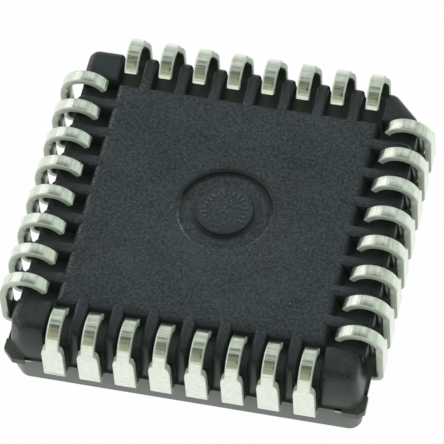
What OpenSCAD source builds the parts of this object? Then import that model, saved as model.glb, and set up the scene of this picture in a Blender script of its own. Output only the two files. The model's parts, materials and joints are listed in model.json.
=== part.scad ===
// Leaded plastic chip carrier, lying on its marked face with the feet of its leads up.
// The origin is the centre of the marked face and +Z points at the feet.
// The index corner, the one with the large chamfer, is at +X, +Y.
// All lengths are in millimetres.

/* [Leads] */
// Leads along each side
leads_per_side = 8; // [6:1:11]
// Distance from one lead to the next
lead_pitch = 1.27; // [1.15:0.01:1.5]
// Thickness of the lead frame's sheet
frame_t = 0.25; // [0.2:0.01:0.3]
// Distance from the marked half's wall to a lead's outer face
lead_reach = 0.42; // [0.4:0.01:0.6]
// Width of a lead where it leaves the body
shoulder_w = 0.76; // [0.6:0.01:0.8]
// Width of a lead's upright and of its hooked foot
foot_w = 0.48; // [0.33:0.01:0.53]
// Height of the wide shoulder above the parting plane
shoulder_h = 1.28; // [0.9:0.01:1.3]
// Height over which the shoulder narrows to the foot's width
shoulder_taper_h = 0.24; // [0.1:0.01:0.3]
// Outer radius of the bend at the shoulder
shoulder_bend_r = 0.35; // [0.3:0.01:0.38]
// Outer radius of the hooked foot
foot_bend_r = 0.93; // [0.8:0.01:1]
// Angle that the hooked foot turns through
foot_turn = 148; // [140:1:165]
// Height of the feet above the underside
stand_off = 0.56; // [0.5:0.01:0.7]

/* [Body] */
// Distance from the last lead's centre to the marked half's wall, at the parting plane
end_margin = 1.965; // [1.85:0.005:2.2]
// Height of the marked half, from its face to the parting plane
marked_h = 1.38; // [1.25:0.01:1.6]
// Height of the lead-side half, from the parting plane to the underside
under_h = 1.64; // [1.5:0.01:2]
// Step by which the lead-side half is set in at the parting plane
parting_step = 0.09; // [0.04:0.01:0.12]
// Draft of the mould's walls, in degrees
draft = 7; // [5:1:9]
// Leg of the 45 degree chamfer at the index corner
index_chamfer = 1.12; // [1:0.01:1.3]
// Leg of the 45 degree cut at the gate corner, opposite the index corner
gate_cut = 0.55; // [0.5:0.01:0.8]
// Radius of the marked half's upright corners, at the parting plane
marked_corner_r = 0.6; // [0.5:0.01:0.7]
// Radius of the lead-side half's upright corners, at the parting plane
corner_r = 0.56; // [0.56:0.01:0.7]
// Radius along the rim of the underside
rim_r = 0.35; // [0.2:0.01:0.4]

/* [Corner lips] */
// Distance by which a corner lip stands out from the marked half's wall
lip_out = 0.05; // [0.02:0.01:0.1]
// Length of a corner lip along each wall
lip_len = 0.8; // [0.6:0.01:0.9]
// Leg of the 45 degree cut at a corner lip's corner
lip_cut = 0.2; // [0.1:0.01:0.3]
// Leg of the 45 degree cut at the gate corner's lip
gate_lip_cut = 0.38; // [0.3:0.01:0.45]

/* [Pockets] */
// Width of the pocket that takes a foot's tip
pocket_w = 0.84; // [0.8:0.01:0.95]
// Depth of the pocket below the underside
pocket_d = 0.67; // [0.5:0.01:0.8]
// Clearance between a foot's tip and the pocket's inner wall
pocket_gap = 0.37; // [0.25:0.01:0.45]
// Distance by which the pocket's inner wall slopes in to its floor
pocket_slope = 0.12; // [0.05:0.01:0.2]
// Depth of the groove in the wall behind a lead, at the parting plane
groove_d = 0.15; // [0.08:0.01:0.2]

/* [Ejector mark] */
// Radius of the round recess in the underside
recess_r = 1.67; // [1.4:0.01:2]
// Radius of the round boss in the recess
boss_r = 1.02; // [0.7:0.01:1.2]
// Depth of the recess
recess_d = 0.18; // [0.08:0.01:0.25]
// Distance of the boss's top below the underside
boss_drop = 0.02; // [0.01:0.01:0.03]
// Place of the recess along X, off the body's centre
recess_x = 0.2; // [-0.3:0.01:0.3]

/* [Inside] */
// Width of the square pad that carries the die
pad_w = 6; // [5:0.1:6.4]
// Distance by which the pad lies deeper than the leads
pad_downset = 0.25; // [0.2:0.01:0.3]
// Width of a bar that ties the pad to the body's corner
tie_w = 0.3; // [0.2:0.01:0.4]
// Width of a tie bar's cut end in the body's wall
tie_end_w = 0.23; // [0.15:0.01:0.25]
// Thickness of a tie bar's cut end
tie_end_t = 0.12; // [0.08:0.01:0.16]
// Distance from a tie bar's cut end to the corner lip
tie_end_gap = 0.01; // [0:0.01:0.05]
// Width of the square die
die_w = 4.2; // [3:0.1:4.6]
// Thickness of the die
die_t = 0.3; // [0.2:0.01:0.38]
// Thickness of the die attach adhesive
attach_t = 0.03; // [0.02:0.01:0.05]
// Distance by which the adhesive shows all round the die
attach_edge = 0.12; // [0.05:0.01:0.2]
// Gap between the pad and the tips of the inner fingers
finger_gap = 0.25; // [0.2:0.01:0.35]
// Distance from the pad's corner to the centre line of the outermost finger's tip
finger_tip_inset = 0.55; // [0.5:0.01:0.7]
// Width of an inner finger
finger_w = 0.28; // [0.2:0.01:0.32]
// Width of the neck that locks a lead into the resin
lock_neck_w = 0.34; // [0.3:0.01:0.45]
// Width of the ears behind the locking neck
lock_ear_w = 0.6; // [0.5:0.01:0.7]
// Length of the locking neck, and of the ears
lock_len = 0.22; // [0.15:0.01:0.25]
// Depth in the wall at which the locking neck starts
lock_depth = 0.4; // [0.3:0.01:0.5]

/* [Bond wires] */
// Diameter of a bond wire
wire_d = 0.04; // [0.03:0.005:0.05]
// Height of a wire's loop above the die
wire_loop_h = 0.22; // [0.15:0.01:0.3]
// Distance from the die's edge to the ball bonds
bond_inset = 0.15; // [0.1:0.01:0.25]
// Distance from the die's corner to the centre line of the outermost ball bond
bond_corner = 0.42; // [0.3:0.01:0.5]
// Distance from a finger's tip to the stitch bond
stitch_inset = 0.3; // [0.2:0.01:0.4]
// Radius of a ball bond
ball_r = 0.05; // [0.04:0.005:0.06]
// Height of a ball bond
ball_h = 0.02; // [0.015:0.005:0.03]

/* [Hidden] */
SIDES = ["front", "right", "back", "left"];
lead_count = len(SIDES) * leads_per_side;
function lead_name(i) = str("lead_", i < 10 ? "0" : "", i);

// An overrun for cuts, and the segments in a full circle
over = 0.5;
arc_fn = 64;
hull_fn = 40;
wire_fn = 16;
rim_steps = 5;

// Half-widths of the two halves, and the levels of the body
parting_half = (leads_per_side - 1) * lead_pitch / 2 + end_margin;
under_half = parting_half - parting_step;
underside_z = marked_h + under_h;
crown_z = underside_z + stand_off;
lip_half = parting_half + lip_out;

// The lead frame's sheet lies under the parting plane, and the pad is pressed deeper
frame_top = marked_h;
frame_low = marked_h - frame_t;
pad_low = frame_low + pad_downset;
pad_top = pad_low + frame_t;
attach_low = pad_low - attach_t;
die_low = attach_low - die_t;

// A lead's bends, with r the distance outwards from the body's centre
lead_face_r = parting_half + lead_reach;
shoulder_bend_c = lead_face_r - shoulder_bend_r;
foot_c_r = lead_face_r - foot_bend_r;
foot_c_z = crown_z - foot_bend_r;
foot_tip_r = foot_c_r + foot_bend_r * cos(foot_turn);
shoulder_top = marked_h + shoulder_h;

// A pocket's outline
pocket_in_r = foot_tip_r - pocket_gap;
pocket_floor = underside_z - pocket_d;
groove_r = under_half - groove_d;

// An inner finger's plan
finger_tip_r = pad_w / 2 + finger_gap;
finger_tip_pitch = (pad_w - 2 * finger_tip_inset) / (leads_per_side - 1);
neck_r = parting_half - lock_depth;
ear_r = neck_r - lock_len;
fan_r = ear_r - lock_len;
stitch_r = finger_tip_r + stitch_inset;
bond_r = die_w / 2 - bond_inset;
bond_pitch = (die_w - 2 * bond_corner) / (leads_per_side - 1);

// A stitch lies on its finger's own centre line, which fans out from the tip
stitch_share = stitch_inset / (fan_r - finger_tip_r);
stitch_pitch = finger_tip_pitch + (lead_pitch - finger_tip_pitch) * stitch_share;

// Where the tie bars run: out along the diagonal, then to two cut ends beside the lip
tie_end_t_pos = lip_half - lip_len - tie_end_gap - tie_end_w / 2;
tie_fork_share = 0.93;
tie_fork = tie_end_t_pos * tie_fork_share;
tie_jog_start = pad_w / 2 + finger_gap;
tie_jog_end = tie_jog_start + pad_downset;

function side_angle(s) = 90 * (s - 1);
function lead_side(i) = floor((i - 1) / leads_per_side);
function lead_slot(i) = (i - 1) % leads_per_side;
function slot_t(k, pitch) = (k - (leads_per_side - 1) / 2) * pitch;

// Length of the diagonal of a square with a given side
function diagonal(side) = side * sqrt(2);

// Turns a piece that is drawn pointing along +X to one of the four sides
module to_side(s) {
    rotate([0, 0, side_angle(s)]) children();
}

// Stands a profile drawn in r and z upright, and gives it a width along the side
module upright(width) {
    translate([0, width / 2, 0])
        rotate([90, 0, 0])
            linear_extrude(height = width) children();
}

// A flat ring's sector from one angle to another, both under a full turn
module sector(r_out, r_in, from, to) {
    reach = 2 * r_out;
    mid = (from + to) / 2;
    intersection() {
        difference() {
            circle(r = r_out, $fn = arc_fn);
            circle(r = r_in, $fn = arc_fn);
        }
        polygon([
            [0, 0],
            reach * [cos(from), sin(from)],
            reach * [cos((from + mid) / 2), sin((from + mid) / 2)],
            reach * [cos(mid), sin(mid)],
            reach * [cos((mid + to) / 2), sin((mid + to) / 2)],
            reach * [cos(to), sin(to)]
        ]);
    }
}

// Centres of a half's round corners. The index and the gate corner are cut at 45 degrees
// and have two each, and the other two corners have one
function corner_centres(half, r, index_leg, gate_leg) =
    let (
        c = half - r,
        index_c = half + r - index_leg - diagonal(r),
        gate_c = half + r - gate_leg - diagonal(r)
    )
    [[c, -c], [-c, c], [c, index_c], [index_c, c], [-c, -gate_c], [-gate_c, -c]];

// A half of the body, stretched round a post at each of its corners
module stretch_round(centres) {
    hull()
        for (centre = centres)
            translate([centre[0], centre[1], 0]) children();
}

// Marked half: drafted walls between round corners, a chamfer and a cut corner
module marked_half() {
    face_corner_r = marked_corner_r - marked_h * tan(draft);
    stretch_round(corner_centres(parting_half, marked_corner_r, index_chamfer, gate_cut))
        cylinder(r1 = face_corner_r, r2 = marked_corner_r, h = marked_h, $fn = hull_fn);
}

// A corner lip, where resin filled the space between the mould and the lead frame
module corner_lip(cut) {
    inner = lip_half - lip_len;
    translate([0, 0, frame_low])
        linear_extrude(height = frame_t)
            polygon([
                [inner, inner],
                [lip_half, inner],
                [lip_half, lip_half - cut],
                [lip_half - cut, lip_half],
                [inner, lip_half]
            ]);
}

// A round post with drafted flanks and a rounded rim, for one upright corner
module corner_post() {
    rim_z = under_h - rim_r;
    rim_c = corner_r - rim_z * tan(draft) - rim_r / cos(draft);
    rim = [
        for (k = [0:rim_steps])
            let (a = draft + (90 - draft) * k / rim_steps)
                [rim_c + rim_r * cos(a), rim_z + rim_r * sin(a)]
    ];
    translate([0, 0, marked_h])
        rotate_extrude($fn = hull_fn)
            polygon(concat([[0, 0], [corner_r, 0]], rim, [[0, under_h]]));
}

// Lead-side half: set in by the step, with rounded upright corners and a rounded rim
module under_half_block() {
    shorter = 2 * parting_step - diagonal(parting_step);
    stretch_round(corner_centres(under_half, corner_r, index_chamfer - shorter, gate_cut - shorter))
        corner_post();
}

// The pocket for one foot's tip, and the groove that runs down the wall behind the lead
module pocket() {
    upright(pocket_w)
        polygon([
            [pocket_in_r, underside_z + over],
            [pocket_in_r, underside_z],
            [pocket_in_r + pocket_slope, pocket_floor],
            [groove_r, pocket_floor],
            [groove_r, marked_h],
            [lead_face_r, marked_h],
            [lead_face_r, underside_z + over]
        ]);
}

module pockets() {
    for (s = [0:3], k = [0:leads_per_side - 1])
        to_side(s)
            translate([0, slot_t(k, lead_pitch), 0])
                pocket();
}

// The round recess left round an ejector, with the ejector's own mark standing in it
module ejector_mark() {
    translate([recess_x, 0, underside_z - recess_d])
        difference() {
            cylinder(r = recess_r, h = recess_d + over, $fn = arc_fn);
            cylinder(r = boss_r, h = recess_d - boss_drop, $fn = arc_fn);
        }
}

// Plan of the finger that reaches from the shoulder in to the die, at one lead's place
module finger_plan(t, tip_t) {
    polygon([
        [shoulder_bend_c, t - shoulder_w / 2],
        [shoulder_bend_c, t + shoulder_w / 2],
        [neck_r, t + shoulder_w / 2],
        [neck_r, t + lock_neck_w / 2],
        [ear_r, t + lock_neck_w / 2],
        [ear_r, t + lock_ear_w / 2],
        [fan_r, t + finger_w / 2],
        [finger_tip_r, tip_t + finger_w / 2],
        [finger_tip_r, tip_t - finger_w / 2],
        [fan_r, t - finger_w / 2],
        [ear_r, t - lock_ear_w / 2],
        [ear_r, t - lock_neck_w / 2],
        [neck_r, t - lock_neck_w / 2],
        [neck_r, t - shoulder_w / 2]
    ]);
}

// Profile of the lead outside the body: the shoulder bend, the upright and the hooked foot
module lead_profile() {
    translate([shoulder_bend_c, frame_low + shoulder_bend_r])
        sector(shoulder_bend_r, shoulder_bend_r - frame_t, -90, 0);
    translate([lead_face_r - frame_t, frame_low + shoulder_bend_r])
        square([frame_t, foot_c_z - frame_low - shoulder_bend_r]);
    translate([foot_c_r, foot_c_z])
        sector(foot_bend_r, foot_bend_r - frame_t, 0, foot_turn);
}

// Front view of the lead, wide at the shoulder and narrow from there to the crown
module lead_front() {
    polygon([
        [-shoulder_w / 2, 0],
        [shoulder_w / 2, 0],
        [shoulder_w / 2, shoulder_top],
        [foot_w / 2, shoulder_top + shoulder_taper_h],
        [foot_w / 2, crown_z + over],
        [-foot_w / 2, crown_z + over],
        [-foot_w / 2, shoulder_top + shoulder_taper_h],
        [-shoulder_w / 2, shoulder_top]
    ]);
}

// One lead: the inner finger in the resin and the formed part outside it
module lead_shape(s, k) {
    t = slot_t(k, lead_pitch);
    tip_t = slot_t(k, finger_tip_pitch);
    to_side(s) {
        translate([0, 0, frame_low])
            linear_extrude(height = frame_t)
                finger_plan(t, tip_t);
        translate([0, t, 0])
            intersection() {
                upright(shoulder_w) lead_profile();
                rotate([90, 0, 90])
                    linear_extrude(height = lead_face_r + over)
                        lead_front();
            }
    }
}

module lead(i) {
    color("gainsboro") lead_shape(lead_side(i), lead_slot(i));
}

// One tie bar along a diagonal: it steps from the pad's level up to the frame's
module tie_run() {
    upright(tie_w)
        polygon([
            [0, pad_low],
            [diagonal(tie_jog_start), pad_low],
            [diagonal(tie_jog_end), frame_low],
            [diagonal(tie_fork), frame_low],
            [diagonal(tie_fork), frame_top],
            [diagonal(tie_jog_end), frame_top],
            [diagonal(tie_jog_start), pad_top],
            [0, pad_top]
        ]);
}

// One arm of a fork, thinned towards the end that is cut off at the wall
module tie_arm() {
    translate([0, 0, frame_low])
        linear_extrude(height = frame_t)
            polygon([
                [tie_fork, tie_fork - tie_w / 2],
                [tie_fork - tie_w / 2, tie_fork],
                [neck_r, tie_end_t_pos + tie_end_w / 2],
                [neck_r, tie_end_t_pos - tie_end_w / 2]
            ]);
    translate([neck_r - tie_end_w, tie_end_t_pos - tie_end_w / 2, frame_top - tie_end_t])
        cube([lip_half - neck_r + tie_end_w, tie_end_w, tie_end_t]);
}

// The index corner's bar has no fork and runs straight out through the chamfer
module tie_index_end() {
    start = diagonal(tie_fork) - tie_w;
    rotate([0, 0, 45])
        translate([start, -tie_w / 2, frame_low])
            cube([diagonal(parting_half) - start, tie_w, frame_t]);
}

// The bars' ends, longer than the body's wall will leave them
module tie_ends() {
    for (turn = [90, 180, 270])
        rotate([0, 0, turn]) {
            tie_arm();
            mirror([1, -1, 0]) tie_arm();
        }
    tie_index_end();
}

module pad_and_bars() {
    translate([-pad_w / 2, -pad_w / 2, pad_low])
        cube([pad_w, pad_w, frame_t]);
    for (s = [0:3])
        rotate([0, 0, side_angle(s) + 45]) tie_run();
}

module die_pad() {
    color("rosybrown") {
        pad_and_bars();
        intersection() {
            tie_ends();
            marked_half();
        }
    }
}

module die_attach() {
    w = die_w + 2 * attach_edge;
    color("silver")
        translate([-w / 2, -w / 2, attach_low])
            cube([w, w, attach_t]);
}

module die() {
    color("slategray")
        translate([-die_w / 2, -die_w / 2, die_low])
            cube([die_w, die_w, die_t]);
}

// One bond wire: a ball on the die and a loop that comes down on the finger
module bond_wire(k) {
    bond = [bond_r, slot_t(k, bond_pitch), die_low];
    stitch = [stitch_r, slot_t(k, stitch_pitch), frame_low];
    span = stitch - bond;
    run = norm([span[0], span[1]]);
    chord = norm(span);
    loop_r = (chord * chord / 4 + wire_loop_h * wire_loop_h) / (2 * wire_loop_h);
    half_turn = asin(chord / 2 / loop_r);
    spare = asin(wire_d / loop_r);
    translate(bond)
        rotate([0, 0, atan2(span[1], span[0])])
            rotate([0, -atan2(span[2], run), 0])
                translate([chord / 2, 0, loop_r - wire_loop_h])
                    rotate([90, 0, 0])
                        rotate([0, 0, 270 - half_turn - spare])
                            rotate_extrude(angle = 2 * (half_turn + spare), $fn = arc_fn)
                                translate([loop_r, 0])
                                    circle(d = wire_d, $fn = wire_fn);
    translate([bond[0], bond[1], die_low - ball_h])
        cylinder(r = ball_r, h = ball_h, $fn = wire_fn);
}

module bond_wires_shape(s) {
    to_side(s)
        difference() {
            for (k = [0:leads_per_side - 1]) bond_wire(k);
            translate([0, -die_w / 2, die_low])
                cube([die_w / 2, die_w, die_t]);
            translate([finger_tip_r, -parting_half, frame_low])
                cube([parting_half - finger_tip_r, 2 * parting_half, frame_t]);
        }
}

module bond_wires(s) {
    color("gold") bond_wires_shape(s);
}

// The resin, moulded round everything that it holds
module body() {
    color([0.25, 0.27, 0.28])
        difference() {
            union() {
                marked_half();
                for (turn = [90, 270])
                    rotate([0, 0, turn]) corner_lip(lip_cut);
                rotate([0, 0, 180]) corner_lip(gate_lip_cut);
                under_half_block();
            }
            pockets();
            ejector_mark();
            for (s = [0:3], k = [0:leads_per_side - 1]) lead_shape(s, k);
            pad_and_bars();
            tie_ends();
            die_attach();
            die();
            for (s = [0:3]) bond_wires_shape(s);
        }
}

body();
for (i = [1:lead_count]) lead(i);
die_pad();
die_attach();
die();
for (s = [0:3]) bond_wires(s);
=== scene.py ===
# %% [markdown]
# A leaded plastic chip carrier, lying on its marked face with the feet of its leads up. The
# construction comes from the imported model: a moulded body, 32 formed leads, and the pad, die and
# bond wires inside. This script gives each of them its finish. It loads the model first and reads
# the boxes of its parts. Nothing that is added may grow past it.

# %% Load the imported model
import json
import math

import bmesh
import bpy
from mathutils import Matrix, Vector

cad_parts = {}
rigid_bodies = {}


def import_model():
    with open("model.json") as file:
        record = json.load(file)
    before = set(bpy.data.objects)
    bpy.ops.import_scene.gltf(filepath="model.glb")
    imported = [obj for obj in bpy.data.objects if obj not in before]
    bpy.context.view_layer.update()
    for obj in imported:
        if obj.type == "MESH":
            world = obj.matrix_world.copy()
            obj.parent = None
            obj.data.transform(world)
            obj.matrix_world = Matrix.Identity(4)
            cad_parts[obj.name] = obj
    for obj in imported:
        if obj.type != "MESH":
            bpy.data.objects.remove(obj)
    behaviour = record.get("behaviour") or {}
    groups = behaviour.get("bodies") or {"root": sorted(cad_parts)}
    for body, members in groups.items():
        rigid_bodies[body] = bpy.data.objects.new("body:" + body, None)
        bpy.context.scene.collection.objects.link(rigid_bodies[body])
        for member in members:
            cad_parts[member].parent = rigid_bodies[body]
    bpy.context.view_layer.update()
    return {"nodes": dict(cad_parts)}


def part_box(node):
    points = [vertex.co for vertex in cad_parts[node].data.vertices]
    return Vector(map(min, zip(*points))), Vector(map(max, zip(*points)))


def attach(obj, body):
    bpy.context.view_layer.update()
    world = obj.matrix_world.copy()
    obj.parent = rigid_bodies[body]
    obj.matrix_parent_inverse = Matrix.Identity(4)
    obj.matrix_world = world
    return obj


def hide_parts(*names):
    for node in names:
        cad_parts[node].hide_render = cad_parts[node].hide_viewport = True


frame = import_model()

MM = 0.001

# %% [markdown]
# Most sizes can be read off the model. The box of the first lead gives the pitch, the width
# of the shoulder, the outer faces and the crown, and the box of the body gives its height.
# A size that is read can't drift away from the model, so only those that no box shows are
# written here again, as the source of the model has them.

# %% Sizes of the leads and the body
LEAD_NAMES = sorted(name for name in frame["nodes"] if name.startswith("lead_"))
LEADS_PER_SIDE = len(LEAD_NAMES) // 4
first_low, first_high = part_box("lead_01")
second_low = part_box("lead_02")[0]
body_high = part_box("body")[1]

PITCH = second_low.x - first_low.x
FIRST_T = -(LEADS_PER_SIDE - 1) / 2 * PITCH
SHOULDER_W = 2 * (FIRST_T - first_low.x)
FACE_R = -first_low.y
FINGER_TIP_R = -first_high.y
FRAME_LOW = first_low.z
CROWN_Z = first_high.z
UNDERSIDE_Z = body_high.z
LIP_HALF = body_high.x

SHEET = 0.25 * MM
FOOT_W = 0.48 * MM
SHOULDER_BEND_R = 0.35 * MM
FOOT_BEND_R = 0.93 * MM
FOOT_TURN = math.radians(148)
PARTING_Z = FRAME_LOW + SHEET
SHOULDER_TOP = PARTING_Z + 1.28 * MM
TAPER_H = 0.24 * MM
RECESS_X = 0.2 * MM
RECESS_R = 1.67 * MM
BOSS_R = 1.02 * MM
BOSS_Z = UNDERSIDE_Z - 0.02 * MM
print("pitch", round(PITCH / MM, 3), "mm, shoulder", round(SHOULDER_W / MM, 3), "mm")
print("leads:", len(LEAD_NAMES))

# %% [markdown]
# Both the leads and the materials are worked out by nodes. A formula is easier to read as
# Python than as a web of links, so one small class stands for an output socket and turns
# + - * / into Math nodes. Every other kind of node comes from one function, which sets the
# node's own settings first, because they decide which sockets it has.

# %% A socket that can be used like a number
class Link:
    def __init__(self, tree, socket):
        self.tree = tree
        self.socket = socket

    def math(self, operation, *others):
        return add_node(self.tree, "ShaderNodeMath", {"operation": operation}, [self, *others])

    def __add__(self, other):
        return self.math("ADD", other)

    def __sub__(self, other):
        return self.math("SUBTRACT", other)

    def __mul__(self, other):
        return self.math("MULTIPLY", other)

    def __truediv__(self, other):
        return self.math("DIVIDE", other)

    def __rsub__(self, other):
        return add_node(self.tree, "ShaderNodeMath", {"operation": "SUBTRACT"}, [other, self])

    def __neg__(self):
        return self * -1

    __radd__ = __add__
    __rmul__ = __mul__

    def clamp(self, low, high):
        return self.math("MAXIMUM", low).math("MINIMUM", high)

    def out(self, name):
        return Link(self.tree, pick(self.socket.node.outputs, name))


def pick(sockets, key):
    """The socket with that name, or at that place, among those that the node uses now."""
    used = [s for s in sockets if s.enabled]
    return used[key] if isinstance(key, int) else next(s for s in used if s.name == key)


def add_node(tree, kind, settings=None, values=()):
    """Adds a node, sets it, fills or links its inputs, and returns its first output."""
    node = tree.nodes.new(kind)
    for name, value in (settings or {}).items():
        if name == "stops":
            set_stops(node.color_ramp, value)
        else:
            setattr(node, name, value)
    pairs = values.items() if isinstance(values, dict) else enumerate(values)
    for key, value in pairs:
        socket = pick(node.inputs, key)
        if isinstance(value, Link):
            tree.links.new(value.socket, socket)
        elif value is not None:
            socket.default_value = value
    outputs = [s for s in node.outputs if s.enabled]
    return Link(tree, outputs[0]) if outputs else Link(tree, node.inputs[0])


def set_stops(ramp, stops):
    """Gives a colour ramp its stops, each a place and a colour or a grey."""
    while len(ramp.elements) < len(stops):
        ramp.elements.new(1.0)
    for element, (place, colour) in zip(ramp.elements, stops):
        element.position = place
        element.color = (*colour, 1) if hasattr(colour, "__len__") else (colour, colour, colour, 1)


def ramp_between(value, start, end):
    """0 below start, 1 above end and a straight line between them."""
    return ((value - start) / (end - start)).clamp(0.0, 1.0)


print("socket class ready")

# %% [markdown]
# A material starts the same way each time: an empty tree, a Principled shader and the
# Object coordinates. The model's objects all sit at the origin, so these coordinates are
# places on the real chip, in metres, and a grain size can be given in millimetres.

# %% Start a material
class Surface:
    """One material's tree, its shader and its coordinates."""

    def __init__(self, name, **constants):
        self.material = bpy.data.materials.new(name)
        self.material.use_nodes = True
        self.tree = self.material.node_tree
        self.tree.nodes.clear()
        self.shader = self.tree.nodes.new("ShaderNodeBsdfPrincipled")
        output = self.tree.nodes.new("ShaderNodeOutputMaterial")
        self.tree.links.new(self.shader.outputs[0], output.inputs[0])
        self.place = self.node("ShaderNodeTexCoord").out("Object")
        for socket, value in constants.items():
            self.shader.inputs[socket.replace("_", " ")].default_value = value

    def node(self, kind, settings=None, values=()):
        return add_node(self.tree, kind, settings, values)

    def feed(self, socket, link):
        self.tree.links.new(link.socket, self.shader.inputs[socket])

    def grain(self, size, detail=2.0, roughness=0.5, vector=None):
        """Noise whose grains are about as large as size."""
        values = {"Vector": vector or self.place, "Scale": 1 / size,
                  "Detail": detail, "Roughness": roughness}
        return self.node("ShaderNodeTexNoise", {}, values)

    def ramp(self, value, *stops):
        return self.node("ShaderNodeValToRGB", {"stops": stops}, {"Fac": value})

    def mix(self, factor, first, second):
        values = {"Factor": factor, "A": paint(first), "B": paint(second)}
        return self.node("ShaderNodeMix", {"data_type": "RGBA"}, values)

    def bump(self, height, depth):
        values = {"Strength": 1.0, "Distance": depth, "Height": height}
        return self.node("ShaderNodeBump", {}, values)


def paint(colour):
    """A colour with its alpha, or a link as it is."""
    return colour if isinstance(colour, Link) else (*colour, 1)


print("material helper ready")

# %% [markdown]
# The resin is a black epoxy filled with silica. The mould's lead side is spark-eroded, so that
# face is a matt grain of a few hundredths of a millimetre, with paler specks where a filler grain
# lies close to the skin. The walls are drawn along the steel as the part leaves the mould and are
# smoother. The marked half comes from the other mould plate and has a finish of its own, and it is
# also painted paler as the white floor's reflection and bounce on its walls. A glow of floor
# bounce is painted at the foot of the lower walls, and the pockets are painted lighter as fill
# light. Separate materials would need faces that end where each zone ends. One material that tells
# the zones apart by height and reach needs none, and its edges can be soft.

# %% Zones and tones of the resin
FINE_GRAIN = 0.10 * MM
BROAD_GRAIN = 1.6 * MM
SPECK_CELL = 0.11 * MM
GRAIN_DEPTH = 0.010 * MM

# Each zone begins at the first height or distance and is full at the second
MARKED_ENDS = (PARTING_Z - 0.03 * MM, PARTING_Z - 0.005 * MM)
LOW_ENDS = (PARTING_Z + 0.1 * MM, UNDERSIDE_Z - 0.5 * MM)
ERODED_STARTS = (UNDERSIDE_Z - 0.22 * MM, UNDERSIDE_Z - 0.02 * MM)
MOUTH_STARTS = (UNDERSIDE_Z - 0.14 * MM, UNDERSIDE_Z - 0.08 * MM)
RIBS_START = (LIP_HALF - 1.7 * MM, LIP_HALF - 1.2 * MM)
POCKET_ENDS = (LIP_HALF - 0.75 * MM, LIP_HALF - 0.55 * MM)
RECESS_ENDS = (RECESS_R, RECESS_R + 0.1 * MM)
LEFT_STARTS = (3.5 * MM, 4.0 * MM)

# Several of these tones are painted light: the wall foot tone is painted floor bounce, the pocket
# tone is painted fill light, the rib tone is painted shade, the darkest tone at the ejector mark
# is painted shade, the bright tones there and at the pocket ends are painted highlights, and the
# marked tones are partly painted floor reflection.
RESIN_TONES = {
    "eroded low": (0.007, 0.011, 0.020), "eroded high": (0.073, 0.084, 0.106),
    "drawn low": (0.009, 0.013, 0.013), "drawn high": (0.018, 0.023, 0.023),
    "marked low": (0.072, 0.086, 0.070), "marked high": (0.096, 0.113, 0.094),
    "wall foot": (0.082, 0.093, 0.082), "pocket": (0.046, 0.052, 0.053),
    "rib_shade": (0.012, 0.016, 0.020), "filler grain": (0.13, 0.15, 0.15),
    "recess_shade": (0.004, 0.006, 0.006), "rim_highlight": (0.36, 0.41, 0.41),
    "pocket_end_highlight": (0.24, 0.26, 0.25), "raised": (0.11, 0.13, 0.14)}
print("tones of the resin:", len(RESIN_TONES))

# %% [markdown]
# An ejector pin pushes the moulding out. It leaves a round recess with a boss in it. Shade is
# painted beside both: dark behind the recess's rim on its far side, in front of the boss, and in a
# thin line round the boss. A highlight is painted in patches on the rim's near side, and the tops
# of the dial's strokes are painted paler. All of it depends on the distance from the recess's
# middle, so it is worked out from that one value, and no mark has to be modelled.

# %% Light and shade painted at the ejector mark
# These sizes place the painted shade and the painted highlight round the ejector mark
SHADE_SIDE_TURNS = (-0.9 * MM, 0.5 * MM)
RIM_SHADE = (0.04 * MM, 0.20 * MM)
BOSS_SHADE = (0.03 * MM, 0.18 * MM)
BOSS_SHADE_OUT = 0.06 * MM
BOSS_EDGE_SHADE = (0.02 * MM, 0.05 * MM)
BRIGHT_RIM = (0.03 * MM, 0.06 * MM)
BOSS_ENDS = (BOSS_R - 0.1 * MM, BOSS_R)
RELIEF_STARTS = (BOSS_Z + 0.005 * MM, BOSS_Z + 0.02 * MM)


def ejector_painted_light(from_recess, deep, height, patchy):
    """Masks of the painted shade by the rim and the boss, the painted highlight on the near rim,
    and the strokes that stand up.
    """
    behind = ramp_between(deep, *SHADE_SIDE_TURNS)
    off_rim = (from_recess - RECESS_R).math("ABSOLUTE")
    off_boss = (from_recess - BOSS_R - BOSS_SHADE_OUT).math("ABSOLUTE")
    # Painted shade: dark behind the far rim, in front of the boss, and in a thin line round the
    # boss
    rim_shade = (1 - ramp_between(off_rim, *RIM_SHADE)) * behind
    boss_shade = (1 - ramp_between(off_boss, *BOSS_SHADE)) * (1 - behind)
    boss_edge_shade = 1 - ramp_between((from_recess - BOSS_R).math("ABSOLUTE"), *BOSS_EDGE_SHADE)
    boss_shade = boss_shade.math("MAXIMUM", boss_edge_shade * 0.6)
    # Painted highlight in patches on the near rim of the recess
    rim_highlight = (1 - ramp_between(off_rim, *BRIGHT_RIM)) * patchy * (1 - behind)
    raised = (1 - ramp_between(from_recess, *BOSS_ENDS)) * ramp_between(height, *RELIEF_STARTS)
    return rim_shade.math("MAXIMUM", boss_shade), rim_highlight, raised


# Where the painted shade by the rim starts
print("shade starts", round(RIM_SHADE[0] / MM, 2), "mm from the rim")
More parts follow.
